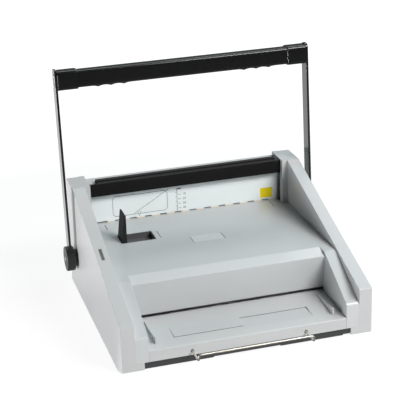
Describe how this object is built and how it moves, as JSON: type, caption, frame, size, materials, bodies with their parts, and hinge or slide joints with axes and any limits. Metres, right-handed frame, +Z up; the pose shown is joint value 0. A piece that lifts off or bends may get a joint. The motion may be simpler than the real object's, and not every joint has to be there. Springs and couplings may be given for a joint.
{
  "type": "strip binding machine",
  "caption": "Desk-top strip binding machine: punch tray driven by a tall swing handle, binding deck with a pressing jaw, flip-up edge stop, sliding wire rest and chip drawer.",
  "frame": {"origin": "bottom centre of the whole machine at rest, on the plane under the rubber feet", "axes": "+X to the right of a person working at it, +Y to its back, +Z up"},
  "size_m": [0.4694, 0.432, 0.4072],
  "materials": {
    "housing": "fine satin moulding, light cool grey",
    "deck": "semi-gloss moulding, light cool grey",
    "panel": "smooth white sheet",
    "black_plastic": "glossy black moulding",
    "dark_plastic": "dark grey moulding",
    "black_paint": "glossy black paint on flat steel bar",
    "wire": "bright drawn wire",
    "steel": "plain steel",
    "screw": "bright plated steel",
    "alloy": "milled aluminium",
    "bronze": "sintered bronze",
    "board": "green circuit board",
    "window": "smoked window",
    "badge": "bare satin plate",
    "feet": "black rubber"
  },
  "bodies": {
    "housing": {"left_side_panel": "housing", "right_side_panel": "housing", "deck_cover": "deck", "punch_tray": "housing", "left_paper_guide": "deck", "right_paper_guide": "deck", "base_plate": "steel", "rear_cover": "housing", "cover_screws": "screw", "label_panel": "panel", "bar_guard": "black_plastic", "strip_channel": "dark_plastic", "cutter_bar": "alloy", "badge_plate": "badge", "status_window": "window", "edge_stop_tray": "dark_plastic", "edge_stop_pin": "steel", "left_chassis_plate": "steel", "right_chassis_plate": "steel", "die_plate": "steel", "throat_stop": "steel", "punch_guide_plate": "steel", "left_shaft_bush": "bronze", "right_shaft_bush": "bronze", "slide_guide_pins": "steel", "left_press_bracket": "steel", "right_press_bracket": "steel", "gear_motor": "alloy", "control_board": "board", "power_inlet": "dark_plastic", "switch_frame": "dark_plastic", "rubber_feet": "feet"},
    "handle": {"handle_grip": "black_plastic", "left_grip_cap": "black_plastic", "right_grip_cap": "black_plastic", "left_handle_arm": "black_paint", "right_handle_arm": "black_paint", "left_hub": "black_plastic", "right_hub": "black_plastic", "handle_screws": "screw", "pivot_shaft": "steel", "left_crank": "steel", "right_crank": "steel"},
    "cam_drive": {"left_cam_slide": "steel", "right_cam_slide": "steel", "slide_tie_bar": "steel"},
    "punch": {"punch_beam": "steel", "punch_pins": "steel"},
    "jaw": {"pressure_jaw": "black_plastic", "left_rack": "black_paint", "right_rack": "black_paint"},
    "jaw_shaft": {"press_shaft": "steel", "left_pinion": "steel", "right_pinion": "steel"},
    "stop": {"edge_stop": "black_plastic"},
    "wire_rest": {"wire_support": "wire"},
    "drawer": {"chip_drawer": "dark_plastic"},
    "rocker": {"power_rocker": "black_plastic"}
  },
  "joints": [
    {"name": "handle_swing", "type": "hinge", "parent": "housing", "child": "handle", "pos_m": [0, 0.1466, 0.067], "axis": [1, 0, 0], "range_deg": [0, 75]},
    {"name": "slide_drive", "type": "slide", "parent": "housing", "child": "cam_drive", "axis": [0, -1, 0], "range_m": [0, 0.0195]},
    {"name": "punch_press", "type": "slide", "parent": "housing", "child": "punch", "axis": [0, 0, -1], "range_m": [0, 0.009]},
    {"name": "jaw_press", "type": "slide", "parent": "housing", "child": "jaw", "axis": [0, 0, -1], "range_m": [0, 0.052]},
    {"name": "jaw_shaft_turn", "type": "hinge", "parent": "housing", "child": "jaw_shaft", "pos_m": [0, 0.1915, 0.074], "axis": [1, 0, 0], "range_deg": [0, 249]},
    {"name": "edge_stop_fold", "type": "hinge", "parent": "housing", "child": "stop", "pos_m": [-0.1401, 0.0965, 0.1059], "axis": [0, 1, 0], "range_deg": [0, 90]},
    {"name": "wire_slide", "type": "slide", "parent": "housing", "child": "wire_rest", "axis": [0, -1, 0], "range_m": [-0.031, 0.045]},
    {"name": "drawer_slide", "type": "slide", "parent": "housing", "child": "drawer", "axis": [0, -1, 0], "range_m": [0, 0.13]},
    {"name": "rocker_tilt", "type": "hinge", "parent": "housing", "child": "rocker", "pos_m": [0.085, 0.208, 0.042], "axis": [-1, 0, 0], "range_deg": [0, 17]}
  ],
  "couplings": [
    {"joint": "slide_drive", "follows": "handle_swing", "m_per_rad": 0.014881},
    {"joint": "punch_press", "follows": "handle_swing", "m_per_rad": 0.006875},
    {"joint": "jaw_shaft_turn", "follows": "jaw_press", "rad_per_m": 83.333}
  ]
}
